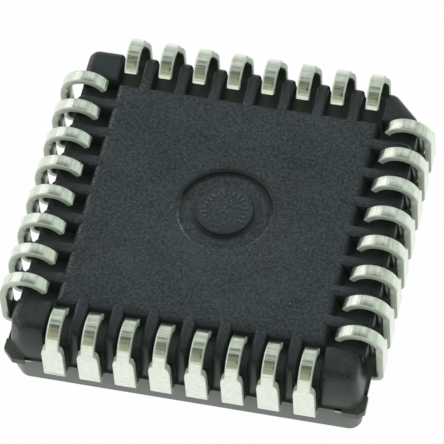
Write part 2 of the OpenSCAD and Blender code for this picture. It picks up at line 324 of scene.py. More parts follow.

# %% [markdown]
# Now the material itself. Masks are multiplied and mixed one after another, the widest zone first
# and the finest marks last, because a later mix covers an earlier one. The ribs between the
# pockets and the upper walls are painted darker as shade, and the round ends of the pockets that
# face left get a painted highlight.

# %% Moulding compound
def moulding_compound():
    skin = Surface("moulding_compound", Specular_IOR_Level=0.5, Specular_Tint=(0.88, 1.0, 0.90, 1))
    tones = RESIN_TONES
    part = skin.node("ShaderNodeSeparateXYZ", {}, [skin.place])
    deep, height = part.out("Y"), part.out("Z")
    fine = skin.grain(FINE_GRAIN, detail=3, roughness=0.65)
    broad = skin.grain(BROAD_GRAIN, detail=2)
    # Noise that breaks the painted highlights into patches
    patchy = skin.ramp(fine, (0.44, 0.1), (0.54, 1.0))

    # Where on the moulding: marked half, eroded underside, ribs, pockets, foot of the walls
    from_recess = ((part - RECESS_X) * (part - RECESS_X) + deep * deep).math("SQRT")
    at_recess = 1 - ramp_between(from_recess, *RECESS_ENDS)
    reach = part.math("ABSOLUTE").math("MAXIMUM", deep.math("ABSOLUTE"))
    marked = 1 - ramp_between(height, *MARKED_ENDS)
    outer = ramp_between(reach, *RIBS_START)
    eroded = ramp_between(height, *ERODED_STARTS).math("MAXIMUM", at_recess)
    # Less grain on the ribs and the upper walls, which darkens them as part of their painted shade
    eroded = eroded * (1 - outer * 0.45)
    in_pocket = 1 - ramp_between(reach, *POCKET_ENDS)
    low_down = 1 - ramp_between(height, *LOW_ENDS)

    # Filler grains near the skin: a few of the cells, each a small round speck
    cells = skin.node("ShaderNodeTexVoronoi", {"feature": "F1"},
                      {"Vector": skin.place, "Scale": 1 / SPECK_CELL})
    chosen = skin.ramp(cells.out("Color"), (0.50, 0.0), (0.70, 1.0))
    specks = (1 - ramp_between(cells, 0.15, 0.40)) * chosen * eroded

    # Round ends of the pockets that face left, found by their normals, get a painted highlight
    normal = skin.node("ShaderNodeNewGeometry").out("Normal")
    facing = skin.node("ShaderNodeSeparateXYZ", {}, [normal])
    pocket_end_highlight = ramp_between(-facing, 0.25, 0.55) * ramp_between(facing.out("Z"), 0.15, 0.4)
    pocket_end_highlight = pocket_end_highlight * ramp_between(height, *MOUTH_STARTS) * eroded
    pocket_end_highlight = pocket_end_highlight * ramp_between(-part, *LEFT_STARTS)

    speckled = skin.ramp(fine * 0.85 + broad * 0.15,
                         (0.36, tones["eroded low"]), (0.64, tones["eroded high"]))
    cloudy = fine * 0.5 + broad * 0.5
    drawn = skin.ramp(cloudy, (0.35, tones["drawn low"]), (0.65, tones["drawn high"]))
    pale = skin.ramp(cloudy, (0.3, tones["marked low"]), (0.7, tones["marked high"]))
    # Painted light: the foot of the lower walls is painted paler as the white floor's bounce
    drawn = skin.mix(low_down, drawn, tones["wall foot"])
    # Painted light: the pockets are painted lighter as fill light reaching into them
    drawn = skin.mix(in_pocket, drawn, tones["pocket"])
    tone = skin.mix(eroded, drawn, speckled)
    recess_shade, rim_highlight, raised = ejector_painted_light(from_recess, deep, height, patchy)
    # The rib tone is painted shade, the dark and bright tones by the ejector mark are painted
    # shade and a painted highlight, the tone at the pocket ends is a painted highlight, and the
    # tops of the strokes are painted paler; the filler specks are the resin's own
    for mask, name in ((outer * (1 - low_down) * 0.4, "rib_shade"), (specks * 0.6, "filler grain"),
                       (recess_shade * 0.85, "recess_shade"), (rim_highlight * 0.9, "rim_highlight"),
                       (pocket_end_highlight * patchy * 0.8, "pocket_end_highlight"), (raised * 0.7, "raised")):
        tone = skin.mix(mask, tone, tones[name])
    # The marked half is painted paler, partly as the white floor's reflection and bounce
    skin.feed("Base Color", skin.mix(marked, tone, pale))
    skin.feed("Roughness", 0.28 + eroded * 0.16 + fine * 0.10)
    skin.feed("Normal", skin.bump(fine * (0.15 + eroded * 0.85), GRAIN_DEPTH))
    return skin.material


resin = moulding_compound()
print("material:", resin.name)

# %% [markdown]
# The leads are copper alloy with a bright tin plate. The hooked feet were rolled over a former,
# which left fine lines across them. Noise laid in object space would run through a bend without
# turning with it, so the bump follows the strip: it reads the attributes along and across, which
# the lead's own geometry carries. The two long edges were sheared by the die that cut the frame,
# and are duller and paler than the rolled faces. The inner side of the first bend, close to the
# wall, is painted dark as shade, and the forming tool has nicked the first lead above that bend.

# %% Lines, marks and tones of the tin
LINE_SPACING = 0.075
SCORE_SPACING = 0.045
LINE_DEPTH = 0.009 * MM
BLOTCH = 0.16 * MM
FORMER_STARTS = (1.6, 2.1)
SHEARED_STARTS = (0.25, 0.65)
NICK_AT = 0.34
NICK_ENDS = (0.012, 0.035)
BEND_SHADE_ENDS = (0.45, 0.75)

# The resin tone paints shade on the inner side of the first bend
TIN_TONES = {
    "low": (0.76, 0.82, 0.71), "high": (0.84, 0.89, 0.80), "line": (0.55, 0.58, 0.50),
    "score": (0.42, 0.43, 0.37), "sheared": (0.69, 0.75, 0.66), "nick": (0.25, 0.27, 0.23),
    "resin": (0.07, 0.08, 0.07)}
print("rolled lines every", LINE_SPACING, "mm along the strip")

# %% [markdown]
# The lead's attribute along is in metres, so it is turned into millimetres first, and the spacings
# above are in millimetres too. The number of the lead shifts the noise, or every lead would carry
# the same lines. Where the edge is sheared, and where the inner side of the first bend is painted
# dark as shade, the metal shine goes down and the surface gets rougher.

# %% Tin plate
def tin_plate():
    tin = Surface("tin_plate")
    tones = TIN_TONES

    def carried(name):
        return tin.node("ShaderNodeAttribute", {"attribute_name": name}).out("Fac")

    along, across = carried("along") / MM, carried("across")
    inner, number = carried("inner"), carried("lead_number")
    lines_at = tin.node("ShaderNodeCombineXYZ", {}, [along, across * 0.03, number * 3.7])
    lines = tin.grain(LINE_SPACING, detail=2, vector=lines_at)
    streaks = tin.ramp(lines, (0.40, 1.0), (0.62, 0.0))
    scores = tin.grain(SCORE_SPACING, detail=0, vector=lines_at)
    scores = tin.ramp(scores, (0.66, 0.0), (0.76, 1.0))
    blotches = tin.grain(BLOTCH, detail=2)

    hook = ramp_between(along, *FORMER_STARTS)
    sheared = ramp_between(across.math("ABSOLUTE"), *SHEARED_STARTS)
    nick = 1 - ramp_between((along - NICK_AT).math("ABSOLUTE"), *NICK_ENDS)
    nick = nick * number.math("LESS_THAN", 1.5) * tin.ramp(blotches, (0.35, 0.2), (0.5, 1.0))
    # Painted shade on the inner side of the first bend, near the wall
    bend_shade = ramp_between(inner, 0.6, 0.9) * (1 - ramp_between(along, *BEND_SHADE_ENDS))

    tone = tin.ramp(blotches, (0.35, tones["low"]), (0.65, tones["high"]))
    for mask, name in ((streaks * hook * 0.35, "line"), (scores * hook * 0.5, "score"),
                       (sheared, "sheared"), (nick * 0.75, "nick"), (bend_shade * 0.9, "resin")):
        tone = tin.mix(mask, tone, tones[name])
    tin.feed("Base Color", tone)
    tin.feed("Metallic", 1 - (sheared * 0.65).math("MAXIMUM", bend_shade))
    polish = 0.11 + lines * 0.06 + (1 - hook) * (0.05 + blotches * 0.08)
    tin.feed("Roughness", polish + (sheared * 0.3).math("MAXIMUM", bend_shade * 0.3))
    tin.feed("Normal", tin.bump(lines * (0.2 + hook * 0.8), LINE_DEPTH))
    return tin.material


tin = tin_plate()
print("material:", tin.name)

# %% [markdown]
# Two pieces of the chip repeat one shape: the leads, and the strokes of the dial on the ejector's
# boss. Each is made by a tree of Geometry Nodes that takes the piece's sizes as named inputs. Both
# trees begin with those inputs, and both end by making the instances real and giving them their
# material.

# %% A tree that makes a piece
class Maker:
    """A tree of Geometry Nodes, with a piece's sizes as its inputs."""

    def __init__(self, name, sizes):
        self.tree = bpy.data.node_groups.new(name, "GeometryNodeTree")
        sockets = self.tree.interface
        for size, value in sizes.items():
            socket = sockets.new_socket(size, in_out="INPUT", socket_type="NodeSocketFloat")
            socket.default_value = value
        sockets.new_socket("Geometry", in_out="OUTPUT", socket_type="NodeSocketGeometry")
        given = self.tree.nodes.new("NodeGroupInput")
        self.size = {size: Link(self.tree, pick(given.outputs, size)) for size in sizes}

    def node(self, kind, settings=None, values=()):
        return add_node(self.tree, kind, settings, values)

    def keep(self, geometry, name, value):
        """Stores a number on every point under a name."""
        values = {"Geometry": geometry, "Name": name, "Value": value}
        settings = {"data_type": "FLOAT", "domain": "POINT"}
        return self.node("GeometryNodeStoreNamedAttribute", settings, values)

    def finish(self, geometry, material):
        values = {"Geometry": self.node("GeometryNodeRealizeInstances", {}, [geometry])}
        values["Material"] = material
        made = self.node("GeometryNodeSetMaterial", {}, values)
        result = self.tree.nodes.new("NodeGroupOutput")
        self.tree.links.new(made.socket, result.inputs[0])
        return self.tree


print("tree helper ready")

# %% [markdown]
# A formed lead is one strip of sheet. It runs out of the resin, turns up at the shoulder,
# and is rolled over into a foot. So it is made as a straight bar that one formula bends:
# a point's distance along the bar gives its place on the centre line, which is a straight
# run, a quarter turn, an upright and the turn of the foot. The bar is instanced once for
# each lead, and after that each copy is bent by itself, because the finger inside the
# resin fans in towards the die and no two real leads are bent quite alike.

# %% Sizes that the lead's node tree takes
LEAD_SIZES = {
    "Leads Per Side": LEADS_PER_SIDE,
    "Pitch": PITCH,
    "Sheet": SHEET,
    "Shoulder Width": SHOULDER_W,
    "Foot Width": FOOT_W,
    "Shoulder Top": SHOULDER_TOP,
    "Taper Height": TAPER_H,
    "Frame Low": FRAME_LOW,
    "Face Distance": FACE_R,
    "Crown Height": CROWN_Z,
    "Shoulder Bend": SHOULDER_BEND_R,
    "Foot Bend": FOOT_BEND_R,
    "Foot Turn": FOOT_TURN,
    "Edge Radius": 0.06 * MM,
    "Finger Tip Distance": FINGER_TIP_R,
    "Finger Tip Pitch": 0.7 * MM,
    "Finger Width": 0.28 * MM,
    "Fan Distance": 5.57 * MM,
    "Ear Distance": 5.79 * MM,
    "Neck Distance": 6.01 * MM,
    "Ear Width": 0.6 * MM,
    "Neck Width": 0.34 * MM,
    "Most Twist": math.radians(1.5),
    "Most Sway": 0.02 * MM,
}
HIDDEN_SHARE = 0.14
FLAT_SHARE = 0.2
BAR_ROWS = 150
BAR_COLUMNS = 11
print("lead sizes:", len(LEAD_SIZES), "bar:", BAR_ROWS, "by", BAR_COLUMNS)

# %% [markdown]
# The tree itself is long only because each stretch of a lead has its own few lines. It works
# out, for a point of the straight bar, its place on the centre line and the way the sheet
# faces there, then the width of the strip at that height, then the round of its long edges.
# Last it turns the result to the lead's own side of the body. What can't be made this way is
# a lead with a hole or a fork, and this one has neither.

# %% The tree that bends every lead
def lead_tree(material):
    maker = Maker("formed_leads", LEAD_SIZES)
    node, keep, size = maker.node, maker.keep, maker.size

    # One straight bar of unit size for each lead, numbered from 1
    points = node("GeometryNodePoints", {}, {"Count": len(LEAD_NAMES)})
    points = keep(points, "lead_number", node("GeometryNodeInputIndex") + 1)
    bar = node("GeometryNodeMeshCube", {}, {
        "Size": (1, 1, 1), "Vertices X": BAR_ROWS, "Vertices Y": BAR_COLUMNS, "Vertices Z": 2})
    bars = node("GeometryNodeInstanceOnPoints", {}, {"Points": points, "Instance": bar})
    bars = node("GeometryNodeRealizeInstances", {}, {"Geometry": bars})

    number = node("GeometryNodeInputNamedAttribute", {"data_type": "FLOAT"},
                  {"Name": "lead_number"})
    side = ((number - 1) / size["Leads Per Side"]).math("FLOOR")
    slot = number - 1 - side * size["Leads Per Side"]
    slot_t = (slot - (size["Leads Per Side"] - 1) / 2) * size["Pitch"]

    corner = node("ShaderNodeSeparateXYZ", {}, [node("GeometryNodeInputPosition")])
    share = corner.out("X") + 0.5
    across = corner.out("Y") * 2
    outward = -corner.out("Z")
    from_middle = across.math("ABSOLUTE")
    flat = ramp_between(from_middle, 0.0, FLAT_SHARE)
    round_turn = ramp_between(from_middle, FLAT_SHARE, 1.0) * (math.pi / 2)

    # Lengths of the centre line's four stretches
    half_sheet = size["Sheet"] / 2
    bend_r = size["Shoulder Bend"] - half_sheet
    foot_r = size["Foot Bend"] - half_sheet
    run_in = size["Face Distance"] - size["Shoulder Bend"] - size["Finger Tip Distance"]
    bend_run = bend_r * (math.pi / 2)
    upright = size["Crown Height"] - size["Foot Bend"] - size["Frame Low"] - size["Shoulder Bend"]
    outside = bend_run + upright + foot_r * size["Foot Turn"]

    # Place on the centre line, with few rows on the finger that the resin hides
    hidden = (share / HIDDEN_SHARE).clamp(0.0, 1.0) * run_in
    shown = ((share - HIDDEN_SHARE) / (1 - HIDDEN_SHARE)).clamp(0.0, 1.0) * outside
    turn_1 = (shown / bend_r).clamp(0.0, math.pi / 2)
    rise = (shown - bend_run).clamp(0.0, upright)
    turn_2 = ((shown - bend_run - upright) / foot_r).clamp(0.0, size["Foot Turn"])
    r_line = size["Finger Tip Distance"] + hidden + bend_r * turn_1.math("SINE")
    r_line = r_line + foot_r * (turn_2.math("COSINE") - 1)
    z_line = size["Frame Low"] + half_sheet + bend_r * (1 - turn_1.math("COSINE")) + rise
    z_line = z_line + foot_r * turn_2.math("SINE")
    turned = turn_1 + turn_2
    normal_r = turned.math("SINE")
    normal_z = -turned.math("COSINE")

    # Width of the strip: the finger, the shoulder, then the taper to the foot
    z_face = z_line + normal_z * outward * size["Sheet"]
    taper_end = size["Shoulder Top"] + size["Taper Height"]
    gentle = ramp_between(z_face, size["Shoulder Top"], taper_end)
    sudden = ramp_between(z_face, taper_end - size["Taper Height"] * 0.3, taper_end)
    narrowing = (gentle * 0.4 + sudden * 0.6) * ramp_between(shown, 0.0, bend_run)
    step = size["Sheet"] / 10
    to_ear = ramp_between(r_line, size["Fan Distance"], size["Ear Distance"])
    to_neck = ramp_between(r_line, size["Ear Distance"], size["Ear Distance"] + step)
    to_shoulder = ramp_between(r_line, size["Neck Distance"], size["Neck Distance"] + step)
    width = size["Finger Width"] + to_ear * (size["Ear Width"] - size["Finger Width"])
    width = width + to_neck * (size["Neck Width"] - size["Ear Width"])
    width = width + to_shoulder * (size["Shoulder Width"] - size["Neck Width"])
    inside = width * (1 - ramp_between(shown, 0.0, step))
    to_foot = size["Foot Width"] - size["Shoulder Width"]
    outside_width = size["Shoulder Width"] + narrowing * to_foot
    width = inside + outside_width * ramp_between(shown, 0.0, step)

    # No two leads are bent quite alike
    def chance(seed):
        values = {"Min": -1.0, "Max": 1.0, "ID": number, "Seed": seed}
        return node("FunctionNodeRandomValue", {"data_type": "FLOAT"}, values)

    grown = ramp_between(shown, bend_run, outside)
    twist = grown * size["Most Twist"] * chance(3)
    sway = grown * size["Most Sway"] * chance(5)

    # The strip's long edges are rounded: flat in the middle, then a quarter turn
    edge_r = size["Edge Radius"] * (0.45 + narrowing * 0.55)
    half_across = flat * (width / 2 - edge_r) + edge_r * round_turn.math("SINE")
    half_across = half_across * across.math("SIGN")
    depth = half_sheet - edge_r * (1 - round_turn.math("COSINE"))
    depth = depth * outward * 2
    t_part = half_across * twist.math("COSINE") - depth * twist.math("SINE") + sway
    n_part = half_across * twist.math("SINE") + depth * twist.math("COSINE")
    fanned = 1 - ramp_between(r_line, size["Finger Tip Distance"], size["Fan Distance"])
    fanned = fanned * (1 - ramp_between(shown, 0.0, step))
    slot_t = slot_t * (1 + (size["Finger Tip Pitch"] / size["Pitch"] - 1) * fanned)

    # Turned to the lead's own side of the body
    r = (r_line + normal_r * n_part).math("MINIMUM", size["Face Distance"])
    t = slot_t + t_part
    angle = (side - 1) * (math.pi / 2)
    x = r * angle.math("COSINE") - t * angle.math("SINE")
    y = r * angle.math("SINE") + t * angle.math("COSINE")
    z = (z_line + normal_z * n_part).math("MINIMUM", size["Crown Height"])
    bent_at = node("ShaderNodeCombineXYZ", {}, [x, y, z])

    bars = keep(bars, "along", shown)
    bars = keep(bars, "across", across)
    bars = keep(bars, "inner", 0.5 - outward)
    bent = node("GeometryNodeSetPosition", {}, {"Geometry": bars, "Position": bent_at})
    return maker.finish(bent, material)


leads_tree = lead_tree(tin)
print("nodes in the lead tree:", len(leads_tree.nodes))

# %% [markdown]
# The tree runs on an empty mesh through a modifier. Its inputs are set by their identifiers,
# and then the evaluated result becomes a plain mesh. Every lead is its own part of the real
# chip, so the mesh is parted by the number that each point carries.

# %% Make one mesh of all leads
def set_inputs(modifier, values):
    for item in modifier.node_group.interface.items_tree:
        if item.item_type == "SOCKET" and item.in_out == "INPUT" and item.name in values:
            modifier[item.identifier] = float(values[item.name])


def plain_mesh(name, tree, values):
    """Runs a node tree and returns what it makes as a mesh of its own."""
    carrier = bpy.data.objects.new(name, bpy.data.meshes.new(name))
    bpy.context.scene.collection.objects.link(carrier)
    modifier = carrier.modifiers.new("nodes", "NODES")
    modifier.node_group = tree
    set_inputs(modifier, values)
    evaluated = carrier.evaluated_get(bpy.context.evaluated_depsgraph_get())
    mesh = bpy.data.meshes.new_from_object(evaluated)
    bpy.data.objects.remove(carrier)
    return mesh


all_leads = plain_mesh("all_leads", leads_tree, LEAD_SIZES)
print("faces of all leads:", len(all_leads.polygons))

# %% [markdown]
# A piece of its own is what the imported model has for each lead, so each piece here stands for
# one node of that model. The mesh is copied once for each number and the rest deleted, which
# is simpler than running the tree 32 times. The part's thin corners get a very small bevel.

# %% Part it into one piece for each lead
CORNER_ROUND = 0.015 * MM
MERGE_POINTS = 0.0001 * MM
def part_of(mesh, name, number):
    """The copy of one lead out of the mesh of all."""
    part = bmesh.new()
    part.from_mesh(mesh)
    tag = part.verts.layers.float["lead_number"]
    others = [v for v in part.verts if round(v[tag]) != number]
    bmesh.ops.delete(part, geom=others, context="VERTS")
    bmesh.ops.remove_doubles(part, verts=part.verts, dist=MERGE_POINTS)
    own = bpy.data.meshes.new(name)
    part.to_mesh(own)
    part.free()
    own.materials.clear()
    own.materials.append(tin)
    return own


def show(mesh, name, node):
    """A finished mesh as a piece that stands for a CAD node."""
    piece = bpy.data.objects.new(name, mesh)
    bpy.context.scene.collection.objects.link(piece)
    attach(piece, "root")
    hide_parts(node)
    return piece


def soften(piece, width, segments, angle):
    """Rounds a piece's sharp edges and shades the rest smooth."""
    bevel = piece.modifiers.new("edges", "BEVEL")
    bevel.width = width
    bevel.segments = segments
    bevel.limit_method = "ANGLE"
    bevel.angle_limit = math.radians(angle)
    bevel.harden_normals = True
    for face in piece.data.polygons:
        face.use_smooth = True
    return bevel


leads = []
for number, name in enumerate(LEAD_NAMES, start=1):
    mesh = part_of(all_leads, "formed_" + name, number)
    lead = show(mesh, "formed_" + name, name)
    soften(lead, CORNER_ROUND, 2, 60)
    leads.append(lead)
print("formed leads:", len(leads))

# %% [markdown]
# The body is one moulding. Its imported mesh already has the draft, the three lips, the
# pockets and the ejector mark, but its edges are knife sharp, and light never finds a knife
# edge. A bevel of one width would eat the thin ribs between the pockets, so each edge gets
# its own share of the widest round: the whole of it at the inner ends of the pockets, about
# half at their other rims, little in the corners, and none deep down.

# %% Edges of the moulding
ROUNDING = 0.22 * MM
SHARP_DEGREES = 28
NEAR = 0.002 * MM
RECESS_DEPTH = 0.3 * MM
RIM_DEPTH = 0.35 * MM
WALL_DEPTH = 0.6 * MM
RIB_LENGTH = 1.2 * MM
SHARES = {"marked face": 0.22, "recess rim": 0.55, "in recess": 0.19, "deep down": 0.0,
          "upright": 0.17, "pocket end": 1.0, "other rim": 0.53}


def edge_kind(edge):
    """Which of the moulding's edges this one is, by its place."""
    low, high = sorted(vert.co.z for vert in edge.verts)
    middle = (edge.verts[0].co + edge.verts[1].co) / 2
    from_recess = math.hypot(middle.x - RECESS_X, middle.y)
    on_top = low > UNDERSIDE_Z - NEAR
    if high < NEAR:
        return "marked face"
    if from_recess < RECESS_R * 1.05 and low > UNDERSIDE_Z - RECESS_DEPTH:
        return "recess rim" if on_top else "in recess"
    if high < UNDERSIDE_Z - RIM_DEPTH:
        return "deep down"
    if low < UNDERSIDE_Z - WALL_DEPTH and high > UNDERSIDE_Z - NEAR:
        return "upright"
    reaches = [max(abs(vert.co.x), abs(vert.co.y)) for vert in edge.verts]
    crosswise = abs(reaches[0] - reaches[1]) < NEAR and reaches[0] < LIP_HALF - RIB_LENGTH
    return "pocket end" if crosswise and on_top else "other rim"


print("kinds of edge:", len(SHARES))

# %% [markdown]
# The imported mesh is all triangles. Points that lie in one place are merged and flat seams are
# dissolved, so that only the real edges are left to find by their angle. The bevel then takes
# each edge's share from a weight that is stored on the edge.

# %% Moulded body
MERGE_BODY = 0.0005 * MM
FLAT_DEGREES = 0.5


def moulded_body():
    mesh = frame["nodes"]["body"].data.copy()
    mesh.name = "moulded_body"
    work = bmesh.new()
    work.from_mesh(mesh)
    bmesh.ops.remove_doubles(work, verts=work.verts, dist=MERGE_BODY)
    bmesh.ops.dissolve_limit(work, angle_limit=math.radians(FLAT_DEGREES),
                             verts=work.verts, edges=work.edges)
    weight = work.edges.layers.float.new("bevel_weight_edge")
    sharp = [edge for edge in work.edges if len(edge.link_faces) == 2
             and edge.calc_face_angle() > math.radians(SHARP_DEGREES)]
    for edge in sharp:
        edge[weight] = SHARES[edge_kind(edge)]
        edge.smooth = edge[weight] > 0
    print("faces of the body:", len(work.faces), "sharp edges:", len(sharp))
    work.to_mesh(mesh)
    work.free()
    mesh.materials.clear()
    mesh.materials.append(resin)
    return mesh


body = show(moulded_body(), "moulded_body", "body")
rounds = soften(body, ROUNDING, 3, SHARP_DEGREES)
rounds.limit_method = "WEIGHT"
rounds.use_clamp_overlap = False

# %% [markdown]
# The boss in the recess was made by the face of the ejector pin, and such a face often has a
# dial cut into it: short strokes on an arc, every third one longer, and an arrow at the
# middle, which all come out raised on the part. A bump in the material would draw them too,
# but real relief casts its own shadows and has a real outline. One stroke is instanced on the
# points of the arc, and the arrow is three more strokes.

# %% Sizes of the dial
DIAL_SIZES = {
    "Centre": RECESS_X,
    "Boss Height": BOSS_Z,
    "Dial Radius": 0.74 * MM,
    "First Angle": math.radians(-30),
    "Angle Step": math.radians(15),
    "Stroke Length": 0.20 * MM,
    "Stroke Width": 0.10 * MM,
    "Relief": 0.03 * MM,
}
DIAL_STROKES = 17
ARROW_STROKES = 3
print("strokes of the dial:", DIAL_STROKES + ARROW_STROKES)

# %% [markdown]
# On the arc, a stroke's number gives its angle, and every third one is longer. The last three
# strokes leave the arc and lean together to an arrow, one upright between two slanted ones.
# A stroke is a block whose top is drawn in, as all raised marks on a moulding are, so that it
# leaves the mould. Modelling each stroke by hand would give the same marks with more work.

# %% Dial on the ejector's boss
DIAL_ROUND = 0.006 * MM


def dial_tree(material):
    maker = Maker("ejector_dial", DIAL_SIZES)
    node, size = maker.node, maker.size

    # A stroke is a small block with a narrower top
    block = node("GeometryNodeMeshCube", {}, {"Size": (1, 1, 1)})
    corner = node("GeometryNodeInputPosition")
    top = node("ShaderNodeSeparateXYZ", {}, [corner]).out("Z").math("GREATER_THAN", 0.0)
    narrow = node("ShaderNodeCombineXYZ", {}, [1 - top * 0.15, 1 - top * 0.45, 1.0])
    shaped = node("ShaderNodeVectorMath", {"operation": "MULTIPLY"}, [corner, narrow])
    block = node("GeometryNodeSetPosition", {}, {"Geometry": block, "Position": shaped})

    # Strokes on the arc stand along its radii, and those of the arrow at the middle
    points = node("GeometryNodePoints", {}, {"Count": DIAL_STROKES + ARROW_STROKES})
    index = node("GeometryNodeInputIndex")
    in_arrow = index.math("GREATER_THAN", DIAL_STROKES - 0.5)
    angle = size["First Angle"] + size["Angle Step"] * index
    third = 1 - (index.math("MODULO", 3.0)).clamp(0.0, 1.0)
    arm = (index - DIAL_STROKES - 1) * in_arrow
    lean = math.pi / 2 + arm * 0.7
    on_arc = size["Dial Radius"] * (1 - in_arrow)
    along_x = on_arc * angle.math("COSINE") + arm * size["Stroke Length"] * 0.35
    shift = (0.5 - arm.math("ABSOLUTE")) * size["Stroke Length"] * 0.6 * in_arrow
    along_y = on_arc * angle.math("SINE") + shift
    corner_at = [size["Centre"] + along_x, along_y, size["Boss Height"]]
    place = node("ShaderNodeCombineXYZ", {}, corner_at)
    points = node("GeometryNodeSetPosition", {}, {"Geometry": points, "Position": place})
    turn = angle * (1 - in_arrow) + lean * in_arrow
    spin = node("ShaderNodeCombineXYZ", {}, [0.0, 0.0, turn])
    length = size["Stroke Length"] * (1 + third * 0.4 + in_arrow * 0.2)
    scale = node("ShaderNodeCombineXYZ", {}, [length, size["Stroke Width"], size["Relief"] * 2])
    strokes = node("GeometryNodeInstanceOnPoints", {}, {
        "Points": points, "Instance": block, "Rotation": spin, "Scale": scale})
    return maker.finish(strokes, material)


dial_mesh = plain_mesh("ejector_dial", dial_tree(resin), DIAL_SIZES)
dial_mesh.materials.clear()
dial_mesh.materials.append(resin)
dial = bpy.data.objects.new("ejector_dial", dial_mesh)
bpy.context.scene.collection.objects.link(dial)
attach(dial, "root")
soften(dial, DIAL_ROUND, 2, 30)
print("faces of the dial:", len(dial_mesh.polygons))

# %% [markdown]
# The pieces inside the resin are never seen in the photograph, but they show when the
# moulding is hidden or cut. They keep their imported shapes, and each gets its own finish. The
# pad's frame is copper that is plated only where it shows at the cut ends of its bars, and
# one material does both by the distance from the middle, so the pad stays one piece.

# %% Finishes of the inner pieces
def inner_metal(name, low, high, roughness, grain):
    metal = Surface(name, Metallic=1.0)
    noise = metal.grain(grain, detail=3)
    metal.feed("Base Color", metal.ramp(noise, (0.35, low), (0.65, high)))
    metal.feed("Roughness", roughness + noise * 0.15)
    metal.feed("Normal", metal.bump(noise, grain / 20))
    return metal.material


def die_silicon():
    chip = Surface("die_silicon", Metallic=0.6, Specular_IOR_Level=0.8)
    cell = {"feature": "F1", "distance": "CHEBYCHEV"}
    where = {"Vector": chip.place, "Scale": 1 / (0.45 * MM)}
    blocks = chip.node("ShaderNodeTexVoronoi", cell, where)
    tone = chip.ramp(blocks.out("Distance"), (0.2, (0.10, 0.11, 0.15)), (0.5, (0.20, 0.19, 0.26)))
    chip.feed("Base Color", tone)
    chip.feed("Roughness", 0.12 + chip.grain(0.2 * MM) * 0.1)
    return chip.material


def die_adhesive():
    paste = Surface("die_adhesive", Metallic=0.4)
    flakes = paste.grain(0.03 * MM, detail=2)
    silver = paste.ramp(flakes, (0.4, (0.42, 0.42, 0.42)), (0.6, (0.62, 0.62, 0.60)))
    paste.feed("Base Color", silver)
    paste.feed("Roughness", 0.35 + flakes * 0.3)
    paste.feed("Normal", paste.bump(flakes, 0.004 * MM))
    return paste.material


def tie_copper():
    """Copper that is plated, and dark with resin above, where the tie bars were cut off."""
    metal = Surface("frame_copper", Metallic=1.0)
    noise = metal.grain(0.12 * MM, detail=3)
    part = metal.node("ShaderNodeSeparateXYZ", {}, [metal.place])
    reach = part.math("ABSOLUTE").math("MAXIMUM", part.out("Y").math("ABSOLUTE"))
    cut = ramp_between(reach, LIP_HALF - 1.0 * MM, LIP_HALF - 0.95 * MM)
    smeared = ramp_between(part.out("Z"), PARTING_Z - 0.085 * MM, PARTING_Z - 0.06 * MM)
    bare = metal.ramp(noise, (0.35, (0.72, 0.40, 0.27)), (0.65, (0.86, 0.52, 0.36)))
    end = metal.mix(smeared, (0.82, 0.83, 0.76), (0.045, 0.05, 0.045))
    metal.feed("Base Color", metal.mix(cut, bare, end))
    metal.feed("Roughness", 0.25 + noise * 0.15 + smeared * 0.2)
    metal.feed("Normal", metal.bump(noise, 0.006 * MM))
    return metal.material


copper = tie_copper()
gold = inner_metal("bond_gold", (0.92, 0.68, 0.28), (1.0, 0.78, 0.38), 0.15, 0.05 * MM)
silicon = die_silicon()
adhesive = die_adhesive()
print("inner finishes:", copper.name, gold.name, silicon.name, adhesive.name)

# %% [markdown]
# The pad, the die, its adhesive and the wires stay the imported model's own nodes, so nothing
# rides or replaces here: each node's mesh only gets its finish.

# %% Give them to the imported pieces
def finish_node(name, material):
    node = frame["nodes"][name]
    node.data.materials.clear()
    node.data.materials.append(material)


finish_node("die_pad", copper)
finish_node("die_attach", adhesive)
finish_node("die", silicon)
for side in ("front", "right", "back", "left"):
    finish_node("bond_wires_" + side, gold)
print("inner pieces finished")

# %% [markdown]
# The chip lies on a white sweep inside a light tent. A floor that only glows would show no
# shadow, and a lit sheet of paper would come out grey. So what the camera sees is mostly
# plain white and partly a real lit surface, which keeps a trace of the chip's shadow.

# %% Floor
FLOOR_HALF = 0.3
PAPER = (0.86, 0.87, 0.86, 1)
WHITE = (1, 1, 1, 1)
SEEN_WHITE = 0.985


def studio_floor():
    half = FLOOR_HALF
    mesh = bpy.data.meshes.new("studio_floor")
    corners = [(-half, -half, 0), (half, -half, 0), (half, half, 0), (-half, half, 0)]
    mesh.from_pydata(corners, [], [(0, 1, 2, 3)])
    paper = bpy.data.materials.new("studio_paper")
    paper.use_nodes = True
    tree = paper.node_tree
    tree.nodes.clear()
    lit = add_node(tree, "ShaderNodeBsdfDiffuse", {}, {"Color": PAPER})
    plain = add_node(tree, "ShaderNodeEmission", {}, {"Color": WHITE, "Strength": 1.0})
    path = add_node(tree, "ShaderNodeLightPath")
    seen = path.out("Is Camera Ray") + path.out("Is Glossy Ray") + path.out("Is Transmission Ray")
    factor = seen.clamp(0.0, 1.0) * SEEN_WHITE
    blend = add_node(tree, "ShaderNodeMixShader", {}, [factor, lit, plain])
    output = tree.nodes.new("ShaderNodeOutputMaterial")
    tree.links.new(blend.socket, output.inputs[0])
    mesh.materials.append(paper)
    floor = bpy.data.objects.new("studio_floor", mesh)
    bpy.context.scene.collection.objects.link(floor)


studio_floor()
print("floor laid")

# %% [markdown]
# Bright metal looks like what stands round it, so the tent matters more than the lamps.
# Going over it from the front horizon to the back one, it is white low in front, then a warm
# dim roof with a darker gap where it ends, and a greenish grey back wall with brighter and
# darker panels. Its left is white, its right a green grey, and there is a small opening for
# the camera. Cards round the chip could do the same, but a world needs no meshes and can't
# be seen from the side by mistake. Its Generated coordinate is the direction of the look.

# %% Light tent
CAMERA_AZIMUTH = 16.622
CAMERA_ELEVATION = 55.535

